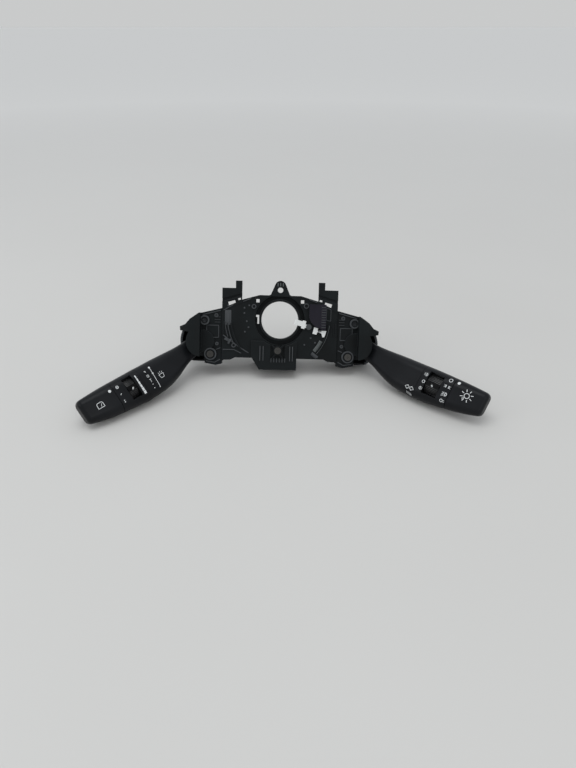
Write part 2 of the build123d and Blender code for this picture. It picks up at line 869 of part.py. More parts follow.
def thumb_wheel(side, window, label):
    """Thumb wheel: hub, rim sector and the raised rib that the thumb pushes."""
    lever = lever_plane(side)
    length = window - 2 * wheel_clearance
    sector_edge = (3 * wheel_radius * sin(radians(wheel_half_sweep)),
                   3 * wheel_radius * cos(radians(wheel_half_sweep)))
    with BuildPart() as wheel:
        with BuildSketch(cross_plane(lever, window_start + wheel_clearance)):
            with Locations((side * wheel_sag, 0)):
                Circle(wheel_radius)
                Polygon((0, 0), sector_edge, (0, 3 * wheel_radius), (-sector_edge[0], sector_edge[1]),
                        align=None, mode=Mode.INTERSECT)
                Circle(wheel_hub_radius)
                with Locations((0, wheel_radius + wheel_rib_height / 2 - 0.2)):
                    Rectangle(wheel_rib_width, wheel_rib_height + 0.4)
                Circle(rod_radius + running_clearance, mode=Mode.SUBTRACT)
        extrude(amount=length)
    save(wheel, label)


def end_knob(side, head_end, tip_end, label):
    """Rotary end knob with a rounded tip, bored for the rod."""
    lever = lever_plane(side)
    knob_start = head_end + knob_gap
    with BuildPart() as knob:
        loft(list(lever_body(lever, side, knob_start, tip_end)))
        end_face = knob.faces().sort_by(Axis(lever.origin, lever.x_dir))[-1]
        fillet(end_face.edges(), tip_round)
        with BuildSketch(cross_plane(lever, knob_start)):
            with Locations((side * wheel_sag, 0)):
                Circle(rod_radius + running_clearance)
        extrude(amount=rod_end + 0.5 - knob_start, mode=Mode.SUBTRACT)
    save(knob, label)


def cancel_cover():
    """Dark plate over the cancelling mechanism, with a ribbed strip along its outer edge."""
    with BuildPart() as cover:
        with BuildSketch(column.offset(cover_lift)):
            with BuildLine():
                Polyline((29.6, 4.0), (29.6, 16.5), (46.6, 16.5), (46.6, -8.6), (40.0, -7.2))
                ThreePointArc((40.0, -7.2), (33.4, -3.4), (29.6, 4.0))
            make_face()
        extrude(amount=cover_thickness)
        with BuildSketch(column.offset(cover_lift + cover_thickness)):
            with Locations((44.1, 4.0)):
                Rectangle(5.0, 25.0)
        extrude(amount=0.8)
        with BuildSketch(column.offset(cover_lift + cover_thickness + 0.8)):
            with Locations((44.1, 4.0)):
                with GridLocations(5.0, 2.5, 1, 9):
                    Rectangle(5.0, 0.7)
        extrude(amount=-0.5, mode=Mode.SUBTRACT)
        with BuildSketch(column):
            with Locations((45.2, 10.6), (45.2, 1.0), (33.0, 13.5)):
                Rectangle(2.0, 4.0)
        extrude(amount=cover_lift)
    save(cover, "cancel_cover")


def cancel_pawl():
    """White pawl: a finger into the bore, a cross head and an eye on the pivot pin."""
    turn = Location((pawl_pivot_x, pawl_pivot_y), pawl_tilt)
    with BuildPart() as pawl:
        with BuildSketch(column.offset(seat_clearance)):
            with Locations(turn):
                with Locations((-9.6, 1.3)):
                    Rectangle(11.6, 5.4)
                with Locations((-5.6, 0.9)):
                    Rectangle(3.6, 8.2)
                with Locations((-1.8, 0)):
                    Rectangle(4.0, 3.4)
                Circle(2.6)
                Circle(pawl_pin_radius + running_clearance, mode=Mode.SUBTRACT)
        extrude(amount=pawl_depth - 0.4)
    save(pawl, "cancel_pawl")


def cancel_link():
    """White link between pawl and yoke: a block, a neck and a beaked head."""
    with BuildPart() as link:
        with BuildSketch(column.offset(seat_clearance)):
            with Locations(Location((36.2, -10.0), pawl_tilt)):
                Rectangle(4.2, 6.8)
            Polygon((37.6, -11.4), (37.6, -9.6), (link_end, -9.7), (link_end - 0.7, -12.9),
                    (link_end - 2.0, -16.2), (link_end - 3.9, -16.2), (link_end - 4.7, -12.6),
                    (link_end - 7.3, -11.4), align=None)
        extrude(amount=pawl_depth - 0.4)
    save(link, "cancel_link")


def cancel_pin():
    """Steel pin that the pawl turns on, standing in the bracket plate."""
    with BuildPart() as pin:
        with BuildSketch(column.offset(-plate_thickness + 0.4)):
            with Locations((pawl_pivot_x, pawl_pivot_y)):
                Circle(pawl_pin_radius)
        extrude(amount=plate_thickness + pawl_depth)
    save(pin, "cancel_pin")


def fasteners():
    """Foot screw and the two screws that hold each module's shells together."""
    with BuildPart() as foot_screw:
        with BuildSketch(column.offset(foot_front - 0.8)):
            with Locations((boss_x, boss_y)):
                Circle(3.4)
        extrude(amount=2.0)
        with BuildSketch(column.offset(foot_front - 0.8)):
            with Locations((boss_x, boss_y)):
                Circle(boss_screw_radius - 0.1)
        extrude(amount=-3.2)
        with BuildSketch(column.offset(foot_front + 1.2)):
            with Locations((boss_x, boss_y)):
                Rectangle(3.6, 0.9)
                Rectangle(0.9, 3.6)
        extrude(amount=-1.0, mode=Mode.SUBTRACT)
    save(foot_screw, "foot_screw")

    with BuildPart() as module_screws:
        for side in (-1, 1):
            with BuildSketch(column.offset(module_front + boss_rise)):
                with Locations((side * screw_x, screw_y)):
                    Circle(3.4)
            extrude(amount=1.8)
            with BuildSketch(column.offset(module_front + boss_rise + 1.8)):
                with Locations((side * screw_x, screw_y)):
                    Rectangle(3.6, 0.9)
                    Rectangle(0.9, 3.6)
            extrude(amount=-1.0, mode=Mode.SUBTRACT)
    save(module_screws, "module_screws")


if __name__ == "__main__":
    os.makedirs("parts", exist_ok=True)
    column_bracket()
    cancel_cover()
    cancel_pawl()
    cancel_link()
    cancel_pin()
    fasteners()
    modules = (
        (1, "light", light_window, light_head_end, light_tip),
        (-1, "wiper", wiper_window, wiper_head_end, wiper_tip),
    )
    for side, name, window, head_end, tip_end in modules:
        module_housing(side, name + "_housing")
        rear_cover(side, name + "_rear_cover")
        circuit_board(side, name + "_circuit_board")
        connector_pins(side, name + "_connector_pins")
        tilt_yoke(side, name + "_tilt_yoke")
        hinge_pin(side, name + "_hinge_pin")
        detent_parts(side, name)
        contact_slider(side, name + "_contact_slider")
        lever_root(side, name + "_lever_root")
        lever_stem(side, name + "_lever_stem")
        lever_head(side, window, head_end, name + "_lever_head")
        core_rod(side, name + "_core_rod")
        thumb_wheel(side, window, name + "_thumb_wheel")
        end_knob(side, head_end, tip_end, name + "_end_knob")
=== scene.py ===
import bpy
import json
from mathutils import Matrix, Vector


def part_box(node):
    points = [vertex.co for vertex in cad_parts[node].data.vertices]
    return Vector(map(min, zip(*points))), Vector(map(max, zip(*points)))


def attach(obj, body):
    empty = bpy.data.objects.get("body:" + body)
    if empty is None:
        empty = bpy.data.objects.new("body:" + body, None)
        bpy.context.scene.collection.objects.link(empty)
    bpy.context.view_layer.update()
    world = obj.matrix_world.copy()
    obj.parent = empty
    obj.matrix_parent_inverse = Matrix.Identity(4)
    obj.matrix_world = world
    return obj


bl_info = {
    "name": "Combination stalk switch",
    "version": (1, 0, 0),
    "blender": (4, 5, 0),
    "location": "View3D > Sidebar > Stalk switch",
    "description": "Dresses the stalk switch with its plastics, printed marks and moulded detail",
    "category": "Object",
}

import json
from math import atan2, cos, degrees, hypot, radians, sin

import bmesh
import bpy
from mathutils import Matrix, Vector

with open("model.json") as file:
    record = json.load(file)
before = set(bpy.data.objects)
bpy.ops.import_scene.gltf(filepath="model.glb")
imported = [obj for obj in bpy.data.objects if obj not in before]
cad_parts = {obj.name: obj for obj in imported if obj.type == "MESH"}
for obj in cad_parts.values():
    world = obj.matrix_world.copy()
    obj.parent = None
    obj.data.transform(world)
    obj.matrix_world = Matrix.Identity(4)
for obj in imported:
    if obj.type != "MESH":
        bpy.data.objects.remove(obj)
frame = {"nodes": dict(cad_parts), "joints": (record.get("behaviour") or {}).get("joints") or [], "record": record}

# Sizes below are in millimetres unless they say otherwise
MM = 0.001

# Side of the bore that each lever is on, along the x of the column plane
SIDES = {"light": 1, "wiper": -1}

# Where moulded detail starts along the column, a little inside the face that it stands on
SUNK = 0.2
ON_BRACKET = 0.0 - SUNK
ON_FOOT = 3.0 - SUNK
ON_COVER = 6.0 - SUNK
ON_CASE = -2.0 - SUNK
ON_PAWL = 2.9
ON_LINK = 2.85

# Printed marks: room under the ink and its thickness, and where the marks are dropped from
MARK_LIFT = 0.04
MARK_THICKNESS = 0.05
DOT_RADIUS = 0.95
DOT_HEIGHT = -4.8
DOT_LIFT = 0.05
DOT_THICKNESS = 0.06
DROP_HEIGHT = 40.0

# Corners of round forms, the gap that strokes are joined over, and the play in finding a face
DISC_SIDES = 28
ROUND_SIDES = 32
WELD = 0.02
FACE_REACH = 0.01

# Fine ribs of the thumb wheels; the steps leave the middle to the wheel's own raised rib
WHEEL_RIB_LENGTH = {"light": 13.4, "wiper": 8.8}
WHEEL_RIB_WIDTH = 0.7
WHEEL_RIB_HEIGHT = 0.9
WHEEL_RIB_RADIUS = 11.05
WHEEL_RIB_TURN = 7.6
WHEEL_RIB_STEPS = (*range(-7, -1), *range(2, 8))
WHEEL_SAG = -3.6

# Stage, in metres: edge of the floor, reach over which it turns paler, and where the lamps look
FLOOR_SIZE = 60
FLOOR_FADE = (0.3, 2.4)
LAMP_AIM = (0, 0, -0.03)

# Camera sensor
SENSOR_HEIGHT = 36.0
SENSOR_WIDTH = 27.0


# ---------------------------------------------------------------- where things are

def joint(name):
    """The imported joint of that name."""
    return next(j for j in frame["joints"] if j["name"] == name)


def plane_matrix(x, y, place):
    """Matrix of a plane with x to the reader's right, y up and z towards the reader."""
    z = x.cross(y).normalized()
    axes = Matrix((x.normalized(), y.normalized(), z)).transposed().to_4x4()
    return Matrix.Translation(place) @ axes


def column_matrix():
    """Plane of the bracket's front face, with z along the column towards the driver."""
    towards = Vector(joint("light_tilt")["axis"])
    right = -Vector(joint("cancel_link_slide")["axis"])
    return plane_matrix(right, towards.cross(right), Vector((0, 0, 0)))


def on_column_plane(name):
    """Where a joint is on the column plane, to a hundredth of a millimetre."""
    place = column_matrix().inverted() @ Vector(joint(name)["pos_m"])
    return round(place.x / MM, 2), round(place.y / MM, 2)


def lever_matrix(lever):
    """Plane through a lever as the driver reads it; x is negative along the wiper lever."""
    side = SIDES[lever]
    along = side * Vector(joint(f"{lever}_wheel_turn")["axis"])
    up = -side * Vector(joint(f"{lever}_pull")["axis"])
    return plane_matrix(along, up, Vector(joint(f"{lever}_pull")["pos_m"]))


def wheel_middle(lever):
    """Middle of a lever's thumb wheel, in the lever's plane and in metres."""
    low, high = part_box(f"{lever}_thumb_wheel")
    return lever_matrix(lever).inverted() @ ((low + high) / 2)


def bench_level():
    """Height of the switch's lowest point at rest, in metres, to a tenth of a millimetre."""
    return round(min(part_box(name)[0].z for name in frame["nodes"]), 4)


# ---------------------------------------------------------------- settings

class SwitchColours(bpy.types.PropertyGroup):
    """Colours of the mouldings and of the printed marks."""
    moulding: bpy.props.FloatVectorProperty(
        name="Moulding", description="Colour of the bracket and module cases",
        default=(0.0070, 0.0082, 0.0086), size=3, subtype="COLOR", min=0, max=1)
    moulding_tint: bpy.props.FloatVectorProperty(
        name="Moulding tint", description="Second colour that drifts through the mouldings",
        default=(0.0100, 0.0124, 0.0132), size=3, subtype="COLOR", min=0, max=1)
    cover: bpy.props.FloatVectorProperty(
        name="Cancel cover", description="Colour of the plate over the cancelling parts",
        default=(0.0120, 0.0108, 0.0160), size=3, subtype="COLOR", min=0, max=1)
    lever: bpy.props.FloatVectorProperty(
        name="Lever", description="Colour of the levers and end knobs",
        default=(0.0064, 0.0070, 0.0082), size=3, subtype="COLOR", min=0, max=1)
    lever_tint: bpy.props.FloatVectorProperty(
        name="Lever tint", description="Second colour that drifts along the levers",
        default=(0.0100, 0.0108, 0.0125), size=3, subtype="COLOR", min=0, max=1)
    wheel: bpy.props.FloatVectorProperty(
        name="Thumb wheel", description="Colour of the polished thumb wheels",
        default=(0.0028, 0.0028, 0.0032), size=3, subtype="COLOR", min=0, max=1)
    mark: bpy.props.FloatVectorProperty(
        name="Printed marks", description="Colour of the pictograms",
        default=(0.78, 0.80, 0.80), size=3, subtype="COLOR", min=0, max=1)
    acetal: bpy.props.FloatVectorProperty(
        name="Acetal", description="Colour of the pawl, link and tracks",
        default=(0.72, 0.73, 0.72), size=3, subtype="COLOR", min=0, max=1)


class StageSizes(bpy.types.PropertyGroup):
    """Camera and floor."""
    camera_distance: bpy.props.FloatProperty(
        name="Camera distance", description="Distance from the camera to the column bore",
        default=0.589, unit="LENGTH")
    camera_pitch: bpy.props.FloatProperty(
        name="Camera pitch", description="How far the camera looks down",
        default=radians(32.32), subtype="ANGLE")
    camera_turn: bpy.props.FloatProperty(
        name="Camera turn", description="How far the camera is turned to the right",
        default=radians(0.895), subtype="ANGLE")
    lens: bpy.props.FloatProperty(
        name="Lens", description="Focal length on a sensor 36 mm high", default=27.05)
    bench: bpy.props.FloatProperty(
        name="Bench level", description="Height of the floor that the switch lies on",
        default=bench_level(), unit="LENGTH")


# ---------------------------------------------------------------- materials

def fresh_material(name):
    """New node material, its nodes, its links and its shader."""
    material = bpy.data.materials.new(name)
    material.use_nodes = True
    nodes = material.node_tree.nodes
    links = material.node_tree.links
    return material, nodes, links, nodes["Principled BSDF"]


def mixed(nodes, links, share, first, second):
    """Mix node between two colours or sockets, by a share socket."""
    mix = nodes.new("ShaderNodeMix")
    mix.data_type = "RGBA"
    links.new(share, mix.inputs["Factor"])
    for slot, value in (("A", first), ("B", second)):
        socket = next(s for s in mix.inputs if s.name == slot and s.type == "RGBA")
        if isinstance(value, bpy.types.NodeSocket):
            links.new(value, socket)
        else:
            socket.default_value = (*value, 1.0)
    return next(s for s in mix.outputs if s.type == "RGBA")


def ranged(nodes, links, value, low, high, to_low, to_high):
    """Map Range node from one span to another."""
    span = nodes.new("ShaderNodeMapRange")
    span.inputs["From Min"].default_value = low
    span.inputs["From Max"].default_value = high
    span.inputs["To Min"].default_value = to_low
    span.inputs["To Max"].default_value = to_high
    links.new(value, span.inputs["Value"])
    return span.outputs["Result"]


def noise(nodes, links, place, scale, detail):
    """Noise over the piece's own coordinates."""
    texture = nodes.new("ShaderNodeTexNoise")
    texture.inputs["Scale"].default_value = scale
    texture.inputs["Detail"].default_value = detail
    links.new(place, texture.inputs["Vector"])
    return texture.outputs["Fac"]


def edge_share(nodes, links, radius):
    """How near a sharp edge a point is, and the normal rounded over that edge."""
    rounded = nodes.new("ShaderNodeBevel")
    rounded.samples = 6
    rounded.inputs["Radius"].default_value = radius
    unrounded = nodes.new("ShaderNodeNewGeometry")
    dot = nodes.new("ShaderNodeVectorMath")
    dot.operation = "DOT_PRODUCT"
    links.new(rounded.outputs["Normal"], dot.inputs[0])
    links.new(unrounded.outputs["Normal"], dot.inputs[1])
    share = ranged(nodes, links, dot.outputs["Value"], 1.0, 0.86, 0.0, 1.0)
    return share, rounded.outputs["Normal"]


def moulded(name, colour, tint, wear_and_edge_highlight, rough=(0.42, 0.58), grain=2400.0, depth=0.05,
            edge=0.0005, level=0.09, drift=38.0):
    """Moulded plastic: two drifting tones, fine grain and a painted highlight, a paler colour mixed in along sharp
    edges; edge is in metres.
    """
    material, nodes, links, shader = fresh_material(name)
    place = nodes.new("ShaderNodeTexCoord").outputs["Object"]
    patches = noise(nodes, links, place, drift, 4.0)
    share = ranged(nodes, links, patches, 0.35, 0.65, 0.0, 1.0)
    tone = mixed(nodes, links, share, colour, tint)
    # Near sharp edges the tone is mixed toward a paler colour: a painted highlight along the edges.
    near_edge, rounded = edge_share(nodes, links, edge)
    edge_highlight_share = ranged(nodes, links, near_edge, 0.0, 1.0, 0.0, 0.75)
    links.new(mixed(nodes, links, edge_highlight_share, tone, wear_and_edge_highlight), shader.inputs["Base Color"])
    smears = noise(nodes, links, place, drift * 5, 5.0)
    links.new(ranged(nodes, links, smears, 0.3, 0.7, *rough), shader.inputs["Roughness"])
    bump = nodes.new("ShaderNodeBump")
    bump.inputs["Strength"].default_value = depth
    bump.inputs["Distance"].default_value = 0.0004
    links.new(noise(nodes, links, place, grain, 3.0), bump.inputs["Height"])
    links.new(rounded, bump.inputs["Normal"])
    links.new(bump.outputs["Normal"], shader.inputs["Normal"])
    shader.inputs["Specular IOR Level"].default_value = level
    return material


def turned_metal(name, colour, tint, rough):
    """Plated or cast metal with faint scratches."""
    material, nodes, links, shader = fresh_material(name)
    place = nodes.new("ShaderNodeTexCoord").outputs["Object"]
    stretch = nodes.new("ShaderNodeMapping")
    stretch.inputs["Scale"].default_value = (1.0, 1.0, 9.0)
    links.new(place, stretch.inputs["Vector"])
    streaks = noise(nodes, links, stretch.outputs["Vector"], 900.0, 4.0)
    links.new(mixed(nodes, links, streaks, colour, tint), shader.inputs["Base Color"])
    links.new(ranged(nodes, links, streaks, 0.3, 0.7, rough - 0.08, rough + 0.1),
              shader.inputs["Roughness"])
    bump = nodes.new("ShaderNodeBump")
    bump.inputs["Strength"].default_value = 0.08
    bump.inputs["Distance"].default_value = 0.0002
    links.new(streaks, bump.inputs["Height"])
    links.new(bump.outputs["Normal"], shader.inputs["Normal"])
    shader.inputs["Metallic"].default_value = 1.0
    return material


def printed(name, colour):
    """Pad-printed ink, slightly uneven."""
    material, nodes, links, shader = fresh_material(name)
    place = nodes.new("ShaderNodeTexCoord").outputs["Object"]
    cover = noise(nodes, links, place, 1500.0, 3.0)
    wear_and_edge_highlight = tuple(c * 0.72 for c in colour)
    links.new(mixed(nodes, links, cover, wear_and_edge_highlight, colour), shader.inputs["Base Color"])
    links.new(ranged(nodes, links, cover, 0.3, 0.7, 0.4, 0.6), shader.inputs["Roughness"])
    return material


def all_materials():
    """Every finish by name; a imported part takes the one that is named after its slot."""
    look = bpy.context.scene.switch_colours
    white = tuple(look.acetal)
    # The third colour given to each moulding is the paler colour of its painted edge highlight.
    return {
        "housing_black": moulded("housing_black", tuple(look.moulding), tuple(look.moulding_tint),
                                 (0.026, 0.029, 0.031), edge=0.0008),
        "cover_black": moulded("cover_black", tuple(look.cover), (0.0165, 0.0150, 0.0215),
                               (0.05, 0.048, 0.058), rough=(0.36, 0.5)),
        "rear_black": moulded("rear_black", (0.0064, 0.0070, 0.0074), (0.0092, 0.0102, 0.0108),
                              (0.03, 0.033, 0.035), rough=(0.45, 0.62)),
        "lever_black": moulded("lever_black", tuple(look.lever), tuple(look.lever_tint),
                               (0.022, 0.023, 0.026), rough=(0.30, 0.40), grain=4200.0, depth=0.03,
                               level=0.14, drift=30.0),
        "wheel_gloss": moulded("wheel_gloss", tuple(look.wheel), (0.0042, 0.0042, 0.0048),
                               (0.012, 0.012, 0.013), rough=(0.2, 0.3), grain=3000.0, depth=0.01,
                               level=0.08),
        "white_acetal": moulded("white_acetal", white, tuple(c * 0.92 for c in white),
                                (0.85, 0.85, 0.84), rough=(0.3, 0.42), depth=0.02),
        "yoke_nylon": moulded("yoke_nylon", (0.05, 0.05, 0.052), (0.065, 0.065, 0.067),
                              (0.1, 0.1, 0.1)),
        "rod_grey": moulded("rod_grey", (0.13, 0.13, 0.135), (0.16, 0.16, 0.165), (0.2, 0.2, 0.2)),
        "zinc_cast": turned_metal("zinc_cast", (0.42, 0.43, 0.44), (0.52, 0.53, 0.54), 0.45),
        "steel": turned_metal("steel", (0.50, 0.50, 0.51), (0.60, 0.60, 0.61), 0.28),
        "screw_steel": turned_metal("screw_steel", (0.045, 0.044, 0.042), (0.085, 0.082, 0.076),
                                    0.4),
        "board_green": moulded("board_green", (0.012, 0.09, 0.035), (0.02, 0.13, 0.05),
                               (0.08, 0.18, 0.1), rough=(0.2, 0.32)),
        "pin_brass": turned_metal("pin_brass", (0.60, 0.46, 0.20), (0.72, 0.58, 0.28), 0.3),
        "strip_grey": moulded("strip_grey", (0.10, 0.11, 0.11), (0.13, 0.14, 0.138),
                              (0.26, 0.27, 0.27), rough=(0.22, 0.32), edge=0.0002),
        "mark_white": printed("mark_white", tuple(look.mark)),
    }


# ---------------------------------------------------------------- modelling helpers

def clear_selection():
    """Leaves edit mode and deselects everything."""
    if bpy.context.object and bpy.context.object.mode != "OBJECT":
        bpy.ops.object.mode_set(mode="OBJECT")
    bpy.ops.object.select_all(action="DESELECT")


def pick(piece):
    """Makes one piece the only selected and the active one."""
    clear_selection()
    piece.select_set(True)
    bpy.context.view_layer.objects.active = piece


def blank(name):
    """New empty mesh object, left in edit mode for primitives to be added to."""
    clear_selection()
    bpy.ops.mesh.primitive_plane_add(size=MM, location=(0, 0, 0))
    piece = bpy.context.object
    piece.name = name
    bpy.ops.object.mode_set(mode="EDIT")
    bpy.ops.mesh.delete(type="VERT")
    return piece


def disc(x, y, radius, sides=DISC_SIDES, fill="TRIFAN"):
    """Filled round mark."""
    bpy.ops.mesh.primitive_circle_add(vertices=sides, radius=radius * MM, fill_type=fill,
                                      location=(x * MM, y * MM, 0))


def ring(x, y, radius, width):
    """Open ring mark."""
    disc(x, y, radius, ROUND_SIDES, "NGON")
    bpy.ops.mesh.inset(thickness=width * MM)
    bpy.ops.mesh.delete(type="FACE")


def set_down(x, y, z, turn):
    """Turns what was just added about z by an angle in degrees and moves it to its place."""
    if turn:
        bpy.ops.transform.rotate(value=-radians(turn), orient_axis="Z", center_override=(0, 0, 0))
    bpy.ops.transform.translate(value=(x * MM, y * MM, z * MM))


def bar(x0, y0, x1, y1, width, cuts=0):
    """Straight stroke between two points."""
    bpy.ops.mesh.primitive_plane_add(size=MM, location=(0, 0, 0))
    bpy.ops.transform.resize(value=(hypot(x1 - x0, y1 - y0), width, 1), center_override=(0, 0, 0))
    if cuts:
        bpy.ops.mesh.subdivide(number_cuts=cuts)
    set_down((x0 + x1) / 2, (y0 + y1) / 2, 0, degrees(atan2(y1 - y0, x1 - x0)))


def block(x, y, z, width, height, depth, turn=0):
    """Square-edged rib or pad; x, y and z are the middle of its foot."""
    bpy.ops.mesh.primitive_cube_add(size=MM, location=(0, 0, MM / 2))
    bpy.ops.transform.resize(value=(width, height, depth), center_override=(0, 0, 0))
    set_down(x, y, z, turn)


def narrow(test):
    """Keeps selected only the faces that are selected now and pass a test."""
    bpy.ops.mesh.select_mode(type="FACE")
    mesh = bmesh.from_edit_mesh(bpy.context.object.data)
    for face in mesh.faces:
        face.select_set(face.select and test(face))
    bmesh.update_edit_mesh(bpy.context.object.data)


def boss(x, y, z, outer, inner, height, depth):
    """Round boss with a hole down its middle, or a plain one where inner is nothing."""
    bpy.ops.mesh.primitive_cylinder_add(vertices=ROUND_SIDES, radius=outer * MM, depth=height * MM,
                                        location=(x * MM, y * MM, (z + height / 2) * MM))
    if inner:
        top = (z + height) * MM
        narrow(lambda face: abs(face.calc_center_median().z - top) < FACE_REACH * MM)
        bpy.ops.mesh.inset(thickness=(outer - inner) * MM)
        bpy.ops.mesh.extrude_region_move(TRANSFORM_OT_translate={"value": (0, 0, -depth * MM)})


def ray(x, y, turn, start, end, width):
    """Stroke that points away from a middle, at an angle in degrees."""
    along, up = cos(radians(turn)), sin(radians(turn))
    bar(x + start * along, y + start * up, x + end * along, y + end * up, width)


def path(points, width, closed=False):
    """Run of strokes through points."""
    ends = points[1:] + points[:1] if closed else points[1:]
    for start, end in zip(points, ends):
        bar(*start, *end, width)


def arc(x, y, radius, start, end, width, steps=10):
    """Curved stroke between two angles in degrees."""
    turns = [radians(start + (end - start) * i / steps) for i in range(steps + 1)]
    path([(x + radius * cos(t), y + radius * sin(t)) for t in turns], width)


def raised(bottom, top):
    """Merges the flat strokes of the mesh in hand and raises them into upright ribs."""
    bpy.ops.mesh.select_all(action="SELECT")
    bpy.ops.mesh.remove_doubles(threshold=WELD * MM)
    bpy.ops.transform.translate(value=(0, 0, bottom * MM))
    bpy.ops.mesh.extrude_region_move(TRANSFORM_OT_translate={"value": (0, 0, (top - bottom) * MM)})
    bpy.ops.mesh.select_all(action="SELECT")
    bpy.ops.mesh.normals_make_consistent(inside=False)


def lay_on(piece, matrix, target, lift, thickness):
    """Drops flat marks along a plane's normal onto a node and gives them a thickness."""
    bpy.ops.mesh.select_all(action="SELECT")
    bpy.ops.mesh.quads_convert_to_tris()
    bpy.ops.mesh.subdivide(number_cuts=2)
    bpy.ops.object.mode_set(mode="OBJECT")
    piece.matrix_world = matrix @ Matrix.Translation((0, 0, DROP_HEIGHT * MM))
    wrap = piece.modifiers.new("wrap", "SHRINKWRAP")
    wrap.target = target
    wrap.wrap_method = "PROJECT"
    wrap.use_project_x = False
    wrap.use_project_y = False
    wrap.use_project_z = True
    wrap.use_negative_direction = True
    wrap.use_positive_direction = False
    wrap.offset = lift * MM
    bpy.ops.object.modifier_apply(modifier=wrap.name)
    bpy.ops.object.transform_apply(location=True, rotation=True, scale=True)
    solid = piece.modifiers.new("thickness", "SOLIDIFY")
    solid.thickness = thickness * MM
    solid.offset = 1.0
    bpy.ops.object.modifier_apply(modifier=solid.name)


def settle(piece, matrix):
    """Leaves edit mode and writes the piece's place on a plane into its mesh."""
    bpy.ops.object.mode_set(mode="OBJECT")
    pick(piece)
    piece.matrix_world = matrix @ piece.matrix_world
    bpy.ops.object.transform_apply(location=True, rotation=True, scale=True)


def soften(piece, width, angle=35, segments=2):
    """Bevels the piece's sharp edges and smooths what lies between them."""
    pick(piece)
    bevel = piece.modifiers.new("bevel", "BEVEL")
    bevel.width = width * MM
    bevel.segments = segments
    bevel.limit_method = "ANGLE"
    bevel.angle_limit = radians(angle)
    bpy.ops.object.modifier_apply(modifier=bevel.name)
    bpy.ops.object.shade_smooth_by_angle(angle=radians(angle))


def dress(piece, body, finish):
    """Gives a piece its body and its material."""
    piece.data.materials.clear()
    piece.data.materials.append(bpy.data.materials[finish])
    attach(piece, body)


def print_on(piece, lever, part, body, lift=MARK_LIFT, thickness=MARK_THICKNESS):
    """Prints the marks in hand on one part of a lever, so that they ride with it."""
    lay_on(piece, lever_matrix(lever), frame["nodes"][f"{lever}_{part}"], lift, thickness)
    dress(piece, f"{lever}_{body}", "mark_white")


def mould_on(piece, round_off, body="bracket", finish="housing_black", angle=35,
             segments=2):
    """Sets the detail in hand on the column plane, rounds its edges and dresses it."""
    settle(piece, column_matrix())
    soften(piece, round_off, angle, segments)
    dress(piece, body, finish)


# ---------------------------------------------------------------- pictograms

def rear_window(x, y):
    """Rear window with three jets over it."""
    path([(x - 2.6, y + 1.6), (x + 2.6, y + 1.6), (x + 1.7, y - 2.1), (x - 1.7, y - 2.1)], 0.45,
         closed=True)
    for turn in (125, 90, 55):
        ray(x, y + 0.4, turn, 2.6, 3.9, 0.45)


def speed_line():
    """Line across the stem with a dot at each end and one between."""
    bar(-74.3, 4.2, -75.2, -16.7, 0.5, 8)
    disc(-74.3, 4.2, 0.95)
    disc(-74.5, -2.2, 0.85)
    disc(-75.2, -16.7, 0.5)


def speed_signs():
    """Column of small signs for the wiper's speeds, from the top down."""
    bar(-81.2, 3.4, -80.0, 1.8, 0.5)
    bar(-80.0, 3.4, -80.8, 2.4, 0.4)
    path([(-81.2, -1.2), (-79.4, -1.2), (-79.4, -3.2), (-81.2, -3.2)], 0.4, closed=True)
    bar(-81.1, -5.8, -79.1, -5.8, 0.4)
    bar(-80.1, -5.8, -80.1, -8.2, 0.4)
    arc(-80.7, -8.2, 0.6, -90, 0, 0.4, 4)
    bar(-81.0, -11.2, -79.9, -11.2, 0.55)
    bar(-81.4, -14.9, -80.4, -14.9, 0.7)


def growing_wedge():
    """Wedge of six bars beside the window, wider from one to the next."""
    for step in range(6):
        top = 4.6 - 3.35 * step
        bar(-91.2, top, -91.3, top - 3.0, 1.1 + 0.24 * step, 1)


def knob_signs():
    """Signs for the positions of the wiper lever's end knob, from the top down."""
    ring(-111.5, 3.4, 1.45, 0.5)
    bar(-112.2, 3.4, -110.8, 3.4, 0.5)
    bar(-112.7, -4.3, -111.1, -3.5, 0.5)
    bar(-113.0, -10.2, -111.8, -10.2, 0.6)
    bar(-113.0, -11.8, -112.0, -11.8, 0.8)


def windscreen(x, y):
    """Windscreen with a wiper arm."""
    path([(x - 3.1, y - 2.4), (x - 2.8, y + 1.7), (x - 1.9, y + 2.5), (x + 1.9, y + 2.5),
          (x + 2.8, y + 1.7), (x + 3.1, y - 2.4)], 0.5, closed=True)
    bar(x + 0.3, y - 1.4, x + 1.6, y + 1.0, 0.4)


def turn_arrow(x, side):
    """Hollow arrow that points to one side."""
    path([(x, -13.2), (x + 2.9 * side, -15.2), (x, -17.2), (x, -16.1), (x - 1.4 * side, -16.1),
          (x - 1.4 * side, -14.3), (x, -14.3)], 0.42, closed=True)


def hatching():
    """Seven short strokes under the arrows."""
    for step in range(7):
        across = 0.85 * step
        down = 0.17 * step
        bar(80.6 + across, -18.9 - down, 80.3 + across, -20.7 - down, 0.3)


def beam_lamp(y, side):
    """Lamp with three beams."""
    x = 92.2 - 0.3 * side
    arc(x, y, 1.4, -90 * side, 180 - 90 * side, 0.45)
    bar(x, y + 1.4, x, y - 1.4, 0.45)
    for rise in (-1.0, 0.0, 1.0):
        bar(x - 0.8 * side, y + rise, x - 1.9 * side, y + rise, 0.4)


def parking_lamp(x, side):
    """Half of the parking light sign: a lamp with two rays."""
    arc(x, 0.6, 1.1, -90 * side, 180 - 90 * side, 0.5, 6)
    bar(x, 1.7, x, -0.5, 0.5)
    bar(x + 1.5 * side, 1.5, x + 2.0 * side, 1.8, 0.4)
    bar(x + 1.5 * side, -0.3, x + 2.0 * side, -0.6, 0.4)


def head_lamp():
    """Lamp with three slanting beams."""
    arc(116.2, -6.6, 1.6, -90, 90, 0.6)
    bar(116.2, -5.0, 116.2, -8.2, 0.6)
    for rise in (-1.3, 0.0, 1.3):
        bar(113.2, -7.3 + rise * 1.2, 115.2, -6.6 + rise, 0.5)


